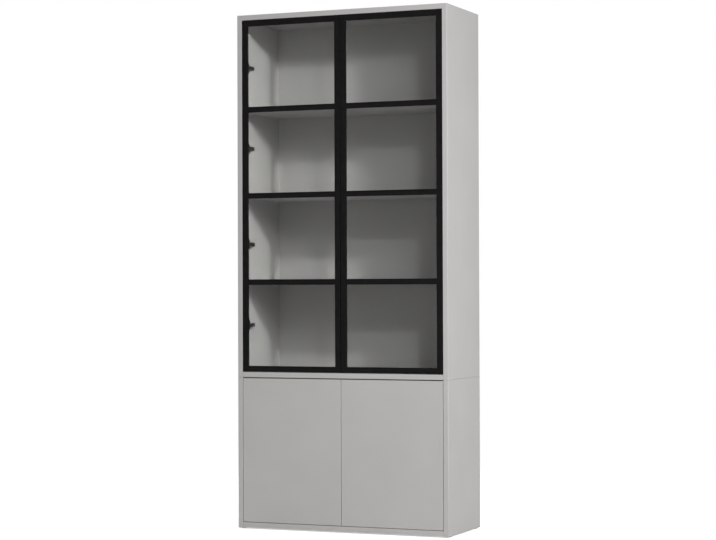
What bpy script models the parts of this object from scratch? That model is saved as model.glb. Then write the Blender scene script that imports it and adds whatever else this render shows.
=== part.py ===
"""Display cabinet: a plain cupboard below, and a tall carcass with framed glass doors above.

Units are metres, +Z is up and the front faces -Y. The origin is the centre of the floor area.
"""

import math

import bmesh
import bpy
from mathutils import Matrix, Vector

# Overall sizes
WIDTH = 0.960
DEPTH = 0.390
HEIGHT = 2.200
LOWER_HEIGHT = 0.648  # top of the lower carcass, where the upper one stands

# Boards
BOARD = 0.022  # sides, tops, bottoms and shelves
BACK_BOARD = 0.003
BACK_INSET = 0.012  # from the rear edges in to the back boards
GROOVE_DEPTH = 0.006  # how far the back boards are let in
FLOOR_GAP = 0.006  # under the lower bottom board
SIDE_ROUND = 0.003  # radius of the sides' outer front edges
ROUND_STEPS = 4
EDGE_EASE = 0.0008  # small chamfer on the other edges
SEAT = 0.0003  # gap between pieces that touch
CUT_PAST = 0.010  # how far cutters run past what they cut
END_FACING = 0.9  # upright share of the normal of an end face
SMOOTH_ANGLE = math.radians(35)

# Floor glides under the sides
GLIDE_HEIGHT = 0.003
GLIDE_RADIUS = 0.009
GLIDE_INSET = 0.040  # from the front and rear edges
GLIDE_EASE = 0.0008
GLIDE_FACETS = 24

# Shelves and their pins
SHELF_COUNT = 3
SHELF_FRONT_PLAY = 0.008  # behind the glass doors
SHELF_BACK_PLAY = 0.002
SHELF_END_PLAY = 0.0008
LOWER_SHELF_LEVEL = 0.300  # underside above the lower bottom board
LOWER_SHELF_SETBACK = 0.030  # behind the lower doors
PIN_RADIUS = 0.0025
PIN_REACH = 0.008
PIN_ROOT = 0.004  # length of pin inside the side board
PIN_INSET = 0.040  # from the shelf's front and back edges
PIN_FACETS = 12

# Gaps round the doors
REVEAL = 0.002
HEAD_REVEAL = 0.004  # above the lower doors
PUSH_ROOM = 0.004  # behind the lower doors, for the push that opens them

# Lower doors
DOOR_BOARD = 0.019
DOOR_EASE = 0.001

# Glass doors
FRAME_DEPTH = 0.020
FRAME_FACE = 0.025
BAR_FACE = 0.024
LIP_DEPTH = 0.0045  # metal in front of the glass, and the depth of the bars
REBATE = 0.008  # width of the frame behind which the glass is held
FRAME_EASE = 0.0008
GLASS = 0.004
GLASS_PLAY = 0.0005  # round the edge of the glass
GASKET_DEPTH = 0.006
GASKET_FACE = 0.006

# Hinge line of each door, measured from the door's front hinge corner
PIVOT_IN = 0.0015
PIVOT_OUT = 0.0005

# Concealed hinges
INNER_HINGE_SHIFT = 0.022  # inner glass door hinges, from the middle of their panes
LOWER_HINGE_END = 0.095  # from the ends of the lower doors
CUP_RADIUS = 0.0175
CUP_DEPTH = 0.0115
CUP_EDGE = 0.005  # door edge to cup
CUP_FLANGE = 0.0015
CUP_FACETS = 32
FLANGE_LENGTH = 0.048
FLANGE_WIDTH = 0.022
WING = 0.0025  # plate on the back of the glass door frame
WING_LENGTH = 0.044
WING_MARGIN = 0.0015  # from the edges of the stile
KNUCKLE = 0.007  # depth of the hinge body behind its plate
KNUCKLE_WIDTH = 0.013
HINGE_PLAY = 0.0005  # between the knuckle and the arm
HINGE_EASE = 0.0005
ARM_LENGTH = 0.064
ARM_WIDTH = 0.0175
ARM_RISE = 0.012  # above the mounting plate
ARM_CRANK = 0.012  # length over which the arm bends to the knuckle
ARM_NOSE = 0.010  # straight length beside the knuckle
ARM_EASE = 0.001
PLATE = 0.003
PLATE_LENGTH = 0.046
PLATE_WIDTH = 0.020
PLATE_TIP = 0.008  # width at the upper and lower ends
PLATE_SHOULDER = 0.018  # length over which the plate keeps its full width
PLATE_PLACE = 0.0325  # from the arm's nose to the middle of the mounting plate

# Push latches
LATCH_OFFSET = 0.014  # from the middle of the cabinet
LATCH_WIDTH = 0.014
LATCH_DROP = 0.0125
LATCH_WALL = 0.010  # solid end behind the bore
LATCH_EASE = 0.001
PLUNGER_RADIUS = 0.0035
PLUNGER_LENGTH = 0.030
PLUNGER_TRAVEL = 0.004
PLUNGER_PLAY = 0.0003  # round the plunger and behind it when pressed
TIP_RIM = 0.0007  # how far the tip stands out round the stem
TIP_LENGTH = 0.0025
PLUNGER_FACETS = 20

# Wall brackets behind the upper back board
BRACKET_PLACE = 0.300  # from the middle of the cabinet
BRACKET_WIDTH = 0.040
BRACKET_DROP = 0.035
BRACKET_STEEL = 0.002
BRACKET_HOLE_RADIUS = 0.0027
BRACKET_HOLE_PITCH = 0.022
BRACKET_HOLE_RISE = 0.0115  # wall holes above the bracket's lower edge
BRACKET_FACETS = 16

# Places worked out from the sizes
FRONT = -DEPTH / 2
REAR = DEPTH / 2
INNER = WIDTH / 2 - BOARD  # inner faces of the sides
BACK_FACE = REAR - BACK_INSET - BACK_BOARD  # front of the back boards
LOWER_FLOOR = FLOOR_GAP + BOARD  # top of the lower bottom board
LOWER_CEILING = LOWER_HEIGHT - BOARD
UPPER_BASE = LOWER_HEIGHT + SEAT
UPPER_FLOOR = UPPER_BASE + BOARD
UPPER_CEILING = HEIGHT - BOARD
DOOR_EDGE = INNER - REVEAL  # hinge edge of each door
DOOR_MEETING = REVEAL / 2  # free edge of each door
FRAME_LOW = UPPER_FLOOR + REVEAL
FRAME_HIGH = UPPER_CEILING - REVEAL
PANE = (FRAME_HIGH - FRAME_LOW - 2 * FRAME_FACE - SHELF_COUNT * BAR_FACE) / (SHELF_COUNT + 1)
PANE_PITCH = PANE + BAR_FACE
PANE_LOWS = [FRAME_LOW + FRAME_FACE + number * PANE_PITCH for number in range(SHELF_COUNT + 1)]
SHELF_LEVELS = [low - BAR_FACE / 2 - BOARD / 2 for low in PANE_LOWS[1:]]  # undersides
LOWER_SHELF_Z = LOWER_FLOOR + LOWER_SHELF_LEVEL
LOWER_DOOR_LOW = LOWER_FLOOR + REVEAL
LOWER_DOOR_HIGH = LOWER_HEIGHT - HEAD_REVEAL
SHELF_FRONT = FRONT + FRAME_DEPTH + SHELF_FRONT_PLAY
LOWER_SHELF_FRONT = FRONT + DOOR_BOARD + LOWER_SHELF_SETBACK
SHELF_BACK = BACK_FACE - SHELF_BACK_PLAY
SIDES = {"left": -1, "right": 1}


class Finish:
    """A plain Principled finish that pieces share."""

    def __init__(self, name, colour, roughness, metallic=0.0, transmission=0.0):
        self.material = bpy.data.materials.new(name)
        self.material.use_nodes = True
        self.material.diffuse_color = (*colour, 1.0)
        shader = self.material.node_tree.nodes["Principled BSDF"]
        shader.inputs["Base Color"].default_value = (*colour, 1.0)
        shader.inputs["Roughness"].default_value = roughness
        shader.inputs["Metallic"].default_value = metallic
        shader.inputs["Transmission Weight"].default_value = transmission


def clear_scene():
    """Remove whatever objects the scene starts with."""
    for item in list(bpy.data.objects):
        bpy.data.objects.remove(item, do_unlink=True)


def make_empty(name, location, parent=None):
    """Return an empty that carries the pieces of one sub-assembly."""
    empty = bpy.data.objects.new(name, None)
    bpy.context.collection.objects.link(empty)
    empty.parent = parent
    empty.location = Vector(location) - world_place(parent)
    return empty


def world_place(parent):
    """Return where an unturned chain of empties puts its origin."""
    place = Vector((0.0, 0.0, 0.0))
    while parent is not None:
        place += parent.location
        parent = parent.parent
    return place


def make_piece(name, shape, finish, origin, parent):
    """Turn a bmesh in world coordinates into a named object with its origin at a given point."""
    bmesh.ops.translate(shape, verts=shape.verts, vec=-Vector(origin))
    mesh = bpy.data.meshes.new(name)
    shape.to_mesh(mesh)
    shape.free()
    mesh.materials.append(finish.material)
    piece = bpy.data.objects.new(name, mesh)
    bpy.context.collection.objects.link(piece)
    piece.parent = parent
    piece.location = Vector(origin) - world_place(parent)
    return piece


def smooth(piece):
    """Shade a round piece smooth, apart from its sharp edges."""
    piece.data.shade_smooth()
    piece.data.set_sharp_from_angle(angle=SMOOTH_ANGLE)


def middle(low, high):
    """Return the point halfway between two corners."""
    return (Vector(low) + Vector(high)) / 2


def block(low, high):
    """Return a box between two corners as a bmesh."""
    shape = bmesh.new()
    size = Vector(high) - Vector(low)
    place = Matrix.Translation(middle(low, high)) @ Matrix.Diagonal((*size, 1.0))
    bmesh.ops.create_cube(shape, size=1.0, matrix=place)
    return shape


def ease_edges(shape, edges, ease):
    """Chamfer some edges of a bmesh."""
    bmesh.ops.bevel(shape, geom=edges, offset=ease, segments=1, profile=0.5, affect="EDGES")


def eased_block(low, high, ease):
    """Return a box between two corners with every edge eased."""
    shape = block(low, high)
    ease_edges(shape, shape.edges[:], ease)
    return shape


def prism(outline, offset):
    """Return a solid extruded from a flat outline of points along an offset."""
    shape = bmesh.new()
    face = shape.faces.new([shape.verts.new(point) for point in outline])
    extruded = bmesh.ops.extrude_face_region(shape, geom=[face])
    moved = [item for item in extruded["geom"] if isinstance(item, bmesh.types.BMVert)]
    bmesh.ops.translate(shape, verts=moved, vec=offset)
    bmesh.ops.recalc_face_normals(shape, faces=shape.faces[:])
    return shape


def rod(start, axis, length, radius, facets):
    """Return a round rod from a start point along a unit axis."""
    shape = bmesh.new()
    turn = Vector((0, 0, 1)).rotation_difference(Vector(axis)).to_matrix().to_4x4()
    place = Matrix.Translation(Vector(start) + Vector(axis) * length / 2) @ turn
    bmesh.ops.create_cone(
        shape, cap_ends=True, segments=facets, radius1=radius, radius2=radius, depth=length, matrix=place
    )
    return shape


def combine(base, tool, operation):
    """Return base with tool joined on or cut away, and free both."""
    holders = []
    for shape in (base, tool):
        mesh = bpy.data.meshes.new("working")
        shape.to_mesh(mesh)
        shape.free()
        holder = bpy.data.objects.new("working", mesh)
        bpy.context.collection.objects.link(holder)
        holders.append(holder)
    boolean = holders[0].modifiers.new("combine", "BOOLEAN")
    boolean.operation = operation
    boolean.solver = "EXACT"
    boolean.object = holders[1]
    bpy.context.view_layer.update()
    result = bmesh.new()
    result.from_object(holders[0], bpy.context.evaluated_depsgraph_get())
    for holder in holders:
        mesh = holder.data
        bpy.data.objects.remove(holder)
        bpy.data.meshes.remove(mesh)
    return result


def cut(base, tool):
    """Return base with tool cut away."""
    return combine(base, tool, "DIFFERENCE")


def join(base, tool):
    """Return base and tool as one body."""
    return combine(base, tool, "UNION")


def back_groove(low_x, high_x, low_z, high_z):
    """Return the cutter of the groove that holds a back board."""
    return block(
        (low_x, BACK_FACE - SEAT, low_z),
        (high_x, BACK_FACE + BACK_BOARD + SEAT, high_z),
    )


def side_outline(side):
    """Return a side's plan outline, with its outer front edge rounded and the others eased."""
    outer = side * WIDTH / 2
    inner = side * INNER
    centre_x = outer - side * SIDE_ROUND
    centre_y = FRONT + SIDE_ROUND
    points = []
    for step in range(ROUND_STEPS + 1):
        angle = math.pi / 2 * step / ROUND_STEPS
        x = centre_x + side * SIDE_ROUND * math.sin(angle)
        y = centre_y - SIDE_ROUND * math.cos(angle)
        points.append((x, y))
    points.append((outer, REAR - EDGE_EASE))
    points.append((outer - side * EDGE_EASE, REAR))
    points.append((inner + side * EDGE_EASE, REAR))
    points.append((inner, REAR - EDGE_EASE))
    points.append((inner, FRONT + EDGE_EASE))
    points.append((inner + side * EDGE_EASE, FRONT))
    return points


def side_board(side, low, high, floor, ceiling, pins):
    """Return a side: its rounded board, the stopped groove for the back, and its shelf pins."""
    outline = [(x, y, low) for x, y in side_outline(side)]
    shape = prism(outline, (0, 0, high - low))
    rims = [edge for face in shape.faces if abs(face.normal.z) > END_FACING for edge in face.edges]
    ease_edges(shape, rims, EDGE_EASE)
    groove_x = sorted((side * (INNER - GROOVE_DEPTH), side * (INNER + GROOVE_DEPTH)))
    shape = cut(shape, back_groove(*groove_x, floor - GROOVE_DEPTH, ceiling + GROOVE_DEPTH))
    for y, underside in pins:
        start = (side * (INNER + PIN_ROOT), y, underside - SEAT - PIN_RADIUS)
        shape = join(shape, rod(start, (-side, 0, 0), PIN_ROOT + PIN_REACH, PIN_RADIUS, PIN_FACETS))
    return shape


def shelf_pins(front, levels):
    """Return the depth and shelf underside of each pin on one side."""
    depths = (front + PIN_INSET, SHELF_BACK - PIN_INSET)
    return [(y, level) for level in levels for y in depths]


def make_sides(name, low, high, floor, ceiling, pins, finish, parent):
    """Make the left and right sides of a carcass."""
    for word, side in SIDES.items():
        shape = side_board(side, low, high, floor, ceiling, pins)
        origin = (side * (WIDTH / 2 - BOARD / 2), 0, (low + high) / 2)
        make_piece(f"{name}_side_{word}", shape, finish, origin, parent)


def make_level_board(name, front, low, grooved_above, finish, parent):
    """Make a top or bottom board between the sides, grooved above or below for the back board."""
    corner = (-INNER + SEAT, front, low)
    opposite = (INNER - SEAT, REAR, low + BOARD)
    shape = eased_block(corner, opposite, EDGE_EASE)
    groove_z = (low - CUT_PAST, low + GROOVE_DEPTH)
    if grooved_above:
        groove_z = (low + BOARD - GROOVE_DEPTH, low + BOARD + CUT_PAST)
    shape = cut(shape, back_groove(-WIDTH / 2, WIDTH / 2, *groove_z))
    make_piece(name, shape, finish, middle(corner, opposite), parent)


def make_back(name, floor, ceiling, finish, parent):
    """Make a back board let into the grooves of its carcass."""
    let_in = GROOVE_DEPTH - SEAT
    corner = (-INNER - let_in, BACK_FACE, floor - let_in)
    opposite = (INNER + let_in, BACK_FACE + BACK_BOARD, ceiling + let_in)
    make_piece(name, block(corner, opposite), finish, middle(corner, opposite), parent)


def make_shelf(name, front, underside, finish, parent):
    """Make a loose shelf that lies on its pins."""
    reach = INNER - SHELF_END_PLAY
    corner = (-reach, front, underside)
    opposite = (reach, SHELF_BACK, underside + BOARD)
    make_piece(name, eased_block(corner, opposite, EDGE_EASE), finish, middle(corner, opposite), parent)


def make_glides(finish, parent):
    """Make the four glides that the sides stand on."""
    places = {"front": FRONT + GLIDE_INSET, "rear": REAR - GLIDE_INSET}
    for side_word, side in SIDES.items():
        for end_word, y in places.items():
            origin = (side * (WIDTH / 2 - BOARD / 2), y, 0)
            shape = rod(origin, (0, 0, 1), GLIDE_HEIGHT, GLIDE_RADIUS, GLIDE_FACETS)
            rim = [edge for edge in shape.edges if max(vert.co.z for vert in edge.verts) < GLIDE_HEIGHT / 2]
            ease_edges(shape, rim, GLIDE_EASE)
            smooth(make_piece(f"glide_{end_word}_{side_word}", shape, finish, origin, parent))


def make_lower_carcass(panel, plastic):
    """Make the low cupboard's boards, shelf and glides."""
    carcass = make_empty("lower_carcass", (0, 0, 0))
    foot = GLIDE_HEIGHT + SEAT
    pins = shelf_pins(LOWER_SHELF_FRONT, [LOWER_SHELF_Z])
    make_sides("lower", foot, LOWER_HEIGHT, LOWER_FLOOR, LOWER_CEILING, pins, panel, carcass)
    top_front = FRONT + DOOR_BOARD + PUSH_ROOM
    make_level_board("lower_bottom_board", FRONT, FLOOR_GAP, True, panel, carcass)
    make_level_board("lower_top_board", top_front, LOWER_CEILING, False, panel, carcass)
    make_back("lower_back_board", LOWER_FLOOR, LOWER_CEILING, panel, carcass)
    make_shelf("lower_shelf", LOWER_SHELF_FRONT, LOWER_SHELF_Z, panel, carcass)
    make_glides(plastic, carcass)
    return carcass


def make_upper_carcass(panel):
    """Make the display carcass's boards and shelves."""
    carcass = make_empty("upper_carcass", (0, 0, LOWER_HEIGHT))
    pins = shelf_pins(SHELF_FRONT, SHELF_LEVELS)
    make_sides("upper", UPPER_BASE, HEIGHT, UPPER_FLOOR, UPPER_CEILING, pins, panel, carcass)
    make_level_board("upper_bottom_board", FRONT, UPPER_BASE, True, panel, carcass)
    make_level_board("upper_top_board", FRONT, UPPER_CEILING, False, panel, carcass)
    make_back("upper_back_board", UPPER_FLOOR, UPPER_CEILING, panel, carcass)
    for number, level in enumerate(SHELF_LEVELS, start=1):
        make_shelf(f"display_shelf_{number}", SHELF_FRONT, level, panel, carcass)
    return carcass


def door_pivot(name, side, low):
    """Return the empty on a door's hinge line."""
    return make_empty(name, (side * (DOOR_EDGE - PIVOT_IN), FRONT - PIVOT_OUT, low))


def hinge_point(side, height, inward, depth, up):
    """Return a world point given from a side's inner face, the front and the hinge's height."""
    return (side * (INNER - inward), FRONT + depth, height + up)


def hinge_block(side, height, inward, depth, up):
    """Return an eased box given by its ranges inward, in depth and upward."""
    first = hinge_point(side, height, inward[0], depth[0], up[0])
    second = hinge_point(side, height, inward[1], depth[1], up[1])
    low = [min(pair) for pair in zip(first, second)]
    high = [max(pair) for pair in zip(first, second)]
    return eased_block(low, high, HINGE_EASE)


def span(centre, length):
    """Return the range of a length about its centre."""
    return (centre - length / 2, centre + length / 2)


def mounting_plate(side, height, depth):
    """Return the plate that holds a hinge arm to the side, narrower towards its two ends."""
    front, back = span(depth, PLATE_WIDTH)
    tip_front, tip_back = span(depth, PLATE_TIP)
    shoulder = PLATE_SHOULDER / 2
    tip = PLATE_LENGTH / 2
    outline = [
        (front, -shoulder),
        (tip_front, -tip),
        (tip_back, -tip),
        (back, -shoulder),
        (back, shoulder),
        (tip_back, tip),
        (tip_front, tip),
        (front, shoulder),
    ]
    base = [hinge_point(side, height, SEAT, along, up) for along, up in outline]
    shape = prism(base, (-side * PLATE, 0, 0))
    ease_edges(shape, shape.edges[:], HINGE_EASE)
    return shape


def hinge_arm(side, height, knuckle_inward, knuckle_end):
    """Return a cabinet-side hinge arm: mounting plate, channel, and the nose beside the knuckle."""
    nose = knuckle_end + HINGE_PLAY
    rear = nose + ARM_LENGTH
    bend_start = nose + ARM_NOSE
    bend_end = bend_start + ARM_CRANK
    root = SEAT + PLATE / 2
    top = SEAT + PLATE + ARM_RISE
    near, far = span(knuckle_inward, KNUCKLE_WIDTH)
    outline = [
        (root, rear),
        (top, rear),
        (top, bend_end),
        (far, bend_start),
        (far, nose),
        (near, nose),
        (near, bend_start),
        (root, bend_end),
    ]
    base = [hinge_point(side, height, inward, depth, -ARM_WIDTH / 2) for inward, depth in outline]
    arm = prism(base, (0, 0, ARM_WIDTH))
    ease_edges(arm, arm.edges[:], ARM_EASE)
    return join(mounting_plate(side, height, nose + PLATE_PLACE), arm)


def make_hinge(name, side, height, door_shape, knuckle_inward, knuckle_end, metal, pivot, carcass):
    """Make one concealed hinge: the part on the door, and the arm on the side."""
    origin = hinge_point(side, height, knuckle_inward, knuckle_end, 0)
    make_piece(f"{name}_cup", door_shape, metal, origin, pivot)
    arm = hinge_arm(side, height, knuckle_inward, knuckle_end)
    make_piece(f"{name}_arm", arm, metal, hinge_point(side, height, 0, knuckle_end, 0), carcass)


def make_wing_hinge(name, side, height, metal, pivot, carcass):
    """Make a glass door's hinge, whose door half is a narrow plate on the stile."""
    stile = FRAME_FACE - REBATE
    plate_front = FRAME_DEPTH + SEAT
    plate_back = plate_front + WING
    knuckle_end = plate_back + KNUCKLE
    inward = REVEAL + stile / 2
    wing_inward = span(inward, stile - 2 * WING_MARGIN)
    wing = hinge_block(side, height, wing_inward, (plate_front, plate_back), span(0, WING_LENGTH))
    knuckle_depth = (plate_front + WING / 2, knuckle_end)
    knuckle = hinge_block(side, height, span(inward, KNUCKLE_WIDTH), knuckle_depth, span(0, ARM_WIDTH))
    make_hinge(name, side, height, join(wing, knuckle), inward, knuckle_end, metal, pivot, carcass)


def cup_inward():
    """Return how far a lower door's hinge cup is from the side's inner face."""
    return REVEAL + CUP_EDGE + CUP_RADIUS


def make_cup_hinge(name, side, height, metal, pivot, carcass):
    """Make a lower door's hinge, whose cup sits in a bore of the door."""
    inward = cup_inward()
    flange_front = DOOR_BOARD + SEAT
    flange_middle = flange_front + CUP_FLANGE / 2
    flange_back = flange_front + CUP_FLANGE
    knuckle_end = flange_back + KNUCKLE
    cup_bottom = DOOR_BOARD - CUP_DEPTH
    start = hinge_point(side, height, inward, cup_bottom, 0)
    cup = rod(start, (0, 1, 0), flange_middle - cup_bottom, CUP_RADIUS, CUP_FACETS)
    flange_inward = span(inward, FLANGE_WIDTH)
    flange = hinge_block(side, height, flange_inward, (flange_front, flange_back), span(0, FLANGE_LENGTH))
    knuckle_depth = (flange_middle, knuckle_end)
    knuckle = hinge_block(side, height, span(inward, KNUCKLE_WIDTH), knuckle_depth, span(0, ARM_WIDTH))
    shape = join(join(flange, cup), knuckle)
    make_hinge(name, side, height, shape, inward, knuckle_end, metal, pivot, carcass)


def glass_hinge_heights():
    """Return the heights of a glass door's hinges, one for each pane."""
    heights = []
    for number, low in enumerate(PANE_LOWS):
        shift = 0.0
        if 0 < number < SHELF_COUNT:
            shift = INNER_HINGE_SHIFT * (1 if number > SHELF_COUNT / 2 else -1)
        heights.append(low + PANE / 2 + shift)
    return heights


def door_box(side, inset, low, high, depth):
    """Return the corners of a box inside a door's outline, over a range of depth."""
    x = sorted((side * (DOOR_MEETING + inset), side * (DOOR_EDGE - inset)))
    return (x[0], FRONT + depth[0], low + inset), (x[1], FRONT + depth[1], high - inset)


def frame_shape(side):
    """Return a glass door's frame: stiles, rails and bars in one, rebated behind for the glass."""
    corner, opposite = door_box(side, 0, FRAME_LOW, FRAME_HIGH, (0, FRAME_DEPTH))
    shape = eased_block(corner, opposite, FRAME_EASE)
    left, right = sorted((side * (DOOR_MEETING + FRAME_FACE), side * (DOOR_EDGE - FRAME_FACE)))
    behind = FRAME_DEPTH + CUT_PAST
    for low in PANE_LOWS:
        opening = block((left, FRONT - CUT_PAST, low), (right, FRONT + behind, low + PANE))
        shape = cut(shape, opening)
    rebate = door_box(side, FRAME_FACE - REBATE, FRAME_LOW, FRAME_HIGH, (LIP_DEPTH, behind))
    return cut(shape, block(*rebate))


def make_glass_door(word, side, frame_metal, glass, rubber, hinge_metal, carcass):
    """Make a glass door: frame, glass, gasket and hinges."""
    pivot = door_pivot(f"{word}_glass_door_pivot", side, FRAME_LOW)
    origin = pivot.location.copy()
    make_piece(f"{word}_glass_door_frame", frame_shape(side), frame_metal, origin, pivot)
    glass_front = LIP_DEPTH + SEAT
    glass_back = glass_front + GLASS
    stile = FRAME_FACE - REBATE
    sheet = door_box(side, stile + GLASS_PLAY, FRAME_LOW, FRAME_HIGH, (glass_front, glass_back))
    make_piece(f"{word}_door_glass", block(*sheet), glass, middle(*sheet), pivot)
    gasket_front = glass_back + SEAT
    gasket_back = gasket_front + GASKET_DEPTH
    inside = stile + SEAT + GASKET_FACE
    outer = door_box(side, stile + SEAT, FRAME_LOW, FRAME_HIGH, (gasket_front, gasket_back))
    inner = door_box(side, inside, FRAME_LOW, FRAME_HIGH, (0, gasket_back + CUT_PAST))
    make_piece(f"{word}_door_gasket", cut(block(*outer), block(*inner)), rubber, middle(*outer), pivot)
    for number, height in enumerate(glass_hinge_heights(), start=1):
        make_wing_hinge(f"{word}_glass_hinge_{number}", side, height, hinge_metal, pivot, carcass)


def make_lower_door(word, side, panel, hinge_metal, carcass):
    """Make a lower door: its bored board and its hinges."""
    pivot = door_pivot(f"{word}_lower_door_pivot", side, LOWER_DOOR_LOW)
    heights = (LOWER_DOOR_LOW + LOWER_HINGE_END, LOWER_DOOR_HIGH - LOWER_HINGE_END)
    corner, opposite = door_box(side, 0, LOWER_DOOR_LOW, LOWER_DOOR_HIGH, (0, DOOR_BOARD))
    shape = eased_block(corner, opposite, DOOR_EASE)
    for height in heights:
        bottom = hinge_point(side, height, cup_inward(), DOOR_BOARD - CUP_DEPTH - SEAT, 0)
        shape = cut(shape, rod(bottom, (0, 1, 0), CUP_DEPTH + CUT_PAST, CUP_RADIUS + SEAT, CUP_FACETS))
    make_piece(f"{word}_lower_door", shape, panel, pivot.location.copy(), pivot)
    for number, height in enumerate(heights, start=1):
        make_cup_hinge(f"{word}_lower_hinge_{number}", side, height, hinge_metal, pivot, carcass)


def plunger_shape(x, tip, z):
    """Return a latch plunger: a round stem with a wider tip."""
    sunk = TIP_LENGTH / 2  # the stem starts halfway into the tip
    stem_start = (x, tip + sunk, z)
    stem = rod(stem_start, (0, 1, 0), PLUNGER_LENGTH - sunk, PLUNGER_RADIUS, PLUNGER_FACETS)
    head = rod((x, tip, z), (0, 1, 0), TIP_LENGTH, PLUNGER_RADIUS + TIP_RIM, PLUNGER_FACETS)
    return join(head, stem)


def make_latch(name, side, door_back, low, plastic, tip_plastic, carcass):
    """Make a push latch: a body fixed to a board, and the plunger that the door pushes in."""
    x = side * LATCH_OFFSET
    z = low + LATCH_DROP / 2
    tip = FRONT + door_back + SEAT
    face = tip + TIP_LENGTH + PLUNGER_TRAVEL + PLUNGER_PLAY
    bore_end = tip + PLUNGER_LENGTH + PLUNGER_TRAVEL + PLUNGER_PLAY
    corner = (x - LATCH_WIDTH / 2, face, low)
    opposite = (x + LATCH_WIDTH / 2, bore_end + LATCH_WALL, low + LATCH_DROP)
    body = eased_block(corner, opposite, LATCH_EASE)
    bore_radius = PLUNGER_RADIUS + PLUNGER_PLAY
    bore = rod((x, tip, z), (0, 1, 0), bore_end - tip, bore_radius, PLUNGER_FACETS)
    make_piece(f"{name}_body", cut(body, bore), plastic, middle(corner, opposite), carcass)
    smooth(make_piece(f"{name}_plunger", plunger_shape(x, tip, z), tip_plastic, (x, tip, z), carcass))


def make_bracket(name, x, steel, carcass):
    """Make an angle bracket under the top board, behind the back board."""
    front = REAR - BACK_INSET + SEAT
    back = REAR - SEAT
    top = UPPER_CEILING - SEAT
    bottom = top - BRACKET_DROP
    low_x, high_x = span(x, BRACKET_WIDTH)
    outline = [
        (low_x, front, top),
        (low_x, back, top),
        (low_x, back, bottom),
        (low_x, back - BRACKET_STEEL, bottom),
        (low_x, back - BRACKET_STEEL, top - BRACKET_STEEL),
        (low_x, front, top - BRACKET_STEEL),
    ]
    shape = prism(outline, (BRACKET_WIDTH, 0, 0))
    cutter = BRACKET_STEEL + 2 * CUT_PAST
    for hole_x in span(x, BRACKET_HOLE_PITCH):
        wall_hole = (hole_x, back - BRACKET_STEEL - CUT_PAST, bottom + BRACKET_HOLE_RISE)
        shape = cut(shape, rod(wall_hole, (0, 1, 0), cutter, BRACKET_HOLE_RADIUS, BRACKET_FACETS))
        board_hole = (hole_x, (front + back - BRACKET_STEEL) / 2, top - BRACKET_STEEL - CUT_PAST)
        shape = cut(shape, rod(board_hole, (0, 0, 1), cutter, BRACKET_HOLE_RADIUS, BRACKET_FACETS))
    make_piece(name, shape, steel, (x, back, top), carcass)


def main():
    """Build the whole cabinet."""
    clear_scene()
    panel = Finish("painted_panel", (0.42, 0.41, 0.395), 0.55)
    frame_metal = Finish("black_frame", (0.012, 0.012, 0.012), 0.5, metallic=0.3)
    glass = Finish("clear_glass", (0.86, 0.90, 0.88), 0.03, transmission=1.0)
    rubber = Finish("black_gasket", (0.02, 0.02, 0.02), 0.8)
    hinge_metal = Finish("hinge_metal", (0.045, 0.045, 0.047), 0.38, metallic=1.0)
    plastic = Finish("latch_plastic", (0.45, 0.45, 0.44), 0.5)
    tip_plastic = Finish("plunger_plastic", (0.06, 0.06, 0.06), 0.45)
    glide_plastic = Finish("glide_plastic", (0.45, 0.45, 0.44), 0.5)
    steel = Finish("zinc_steel", (0.55, 0.56, 0.58), 0.35, metallic=1.0)
    lower = make_lower_carcass(panel, glide_plastic)
    upper = make_upper_carcass(panel)
    for word, side in SIDES.items():
        make_lower_door(word, side, panel, hinge_metal, lower)
        make_glass_door(word, side, frame_metal, glass, rubber, hinge_metal, upper)
        lower_latch_low = LOWER_CEILING - SEAT - LATCH_DROP
        make_latch(f"{word}_lower_latch", side, DOOR_BOARD, lower_latch_low, plastic, tip_plastic, lower)
        upper_latch_low = UPPER_FLOOR + SEAT
        make_latch(f"{word}_glass_latch", side, FRAME_DEPTH, upper_latch_low, plastic, tip_plastic, upper)
        make_bracket(f"wall_bracket_{word}", side * BRACKET_PLACE, steel, upper)


main()
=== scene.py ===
"""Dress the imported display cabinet: finer boards, framed doors, hinges and latches, and a plain studio.

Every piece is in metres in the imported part's frame: +Z is up, the doors face -Y, and the floor is at zero.
"""

import logging
import math
from collections.abc import Callable, Iterable, Sequence
from dataclasses import dataclass
from enum import Enum

import bmesh
import bpy
from bmesh.types import BMEdge, BMesh, BMVert
from bpy.types import Material, Node, NodeSocket, Object, World
from mathutils import Matrix, Vector


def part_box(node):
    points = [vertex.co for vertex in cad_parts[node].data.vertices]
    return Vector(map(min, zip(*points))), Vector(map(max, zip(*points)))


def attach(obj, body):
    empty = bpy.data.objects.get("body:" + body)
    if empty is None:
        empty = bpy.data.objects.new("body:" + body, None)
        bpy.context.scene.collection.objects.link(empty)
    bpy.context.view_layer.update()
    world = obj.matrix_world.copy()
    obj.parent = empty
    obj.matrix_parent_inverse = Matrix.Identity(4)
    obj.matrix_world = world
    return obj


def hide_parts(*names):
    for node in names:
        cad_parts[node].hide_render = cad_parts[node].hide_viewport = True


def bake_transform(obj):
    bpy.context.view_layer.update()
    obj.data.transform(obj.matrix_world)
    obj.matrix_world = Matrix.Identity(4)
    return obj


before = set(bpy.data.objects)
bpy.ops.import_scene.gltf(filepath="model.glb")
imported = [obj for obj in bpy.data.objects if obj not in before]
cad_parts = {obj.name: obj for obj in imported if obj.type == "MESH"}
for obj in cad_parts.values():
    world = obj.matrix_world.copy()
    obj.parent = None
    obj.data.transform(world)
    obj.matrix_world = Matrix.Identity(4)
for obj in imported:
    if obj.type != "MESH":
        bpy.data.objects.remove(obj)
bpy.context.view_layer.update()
LOG = logging.getLogger("display_cabinet")

Colour = tuple[float, float, float]
Point = tuple[float, float, float]
Range = tuple[float, float]

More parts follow.
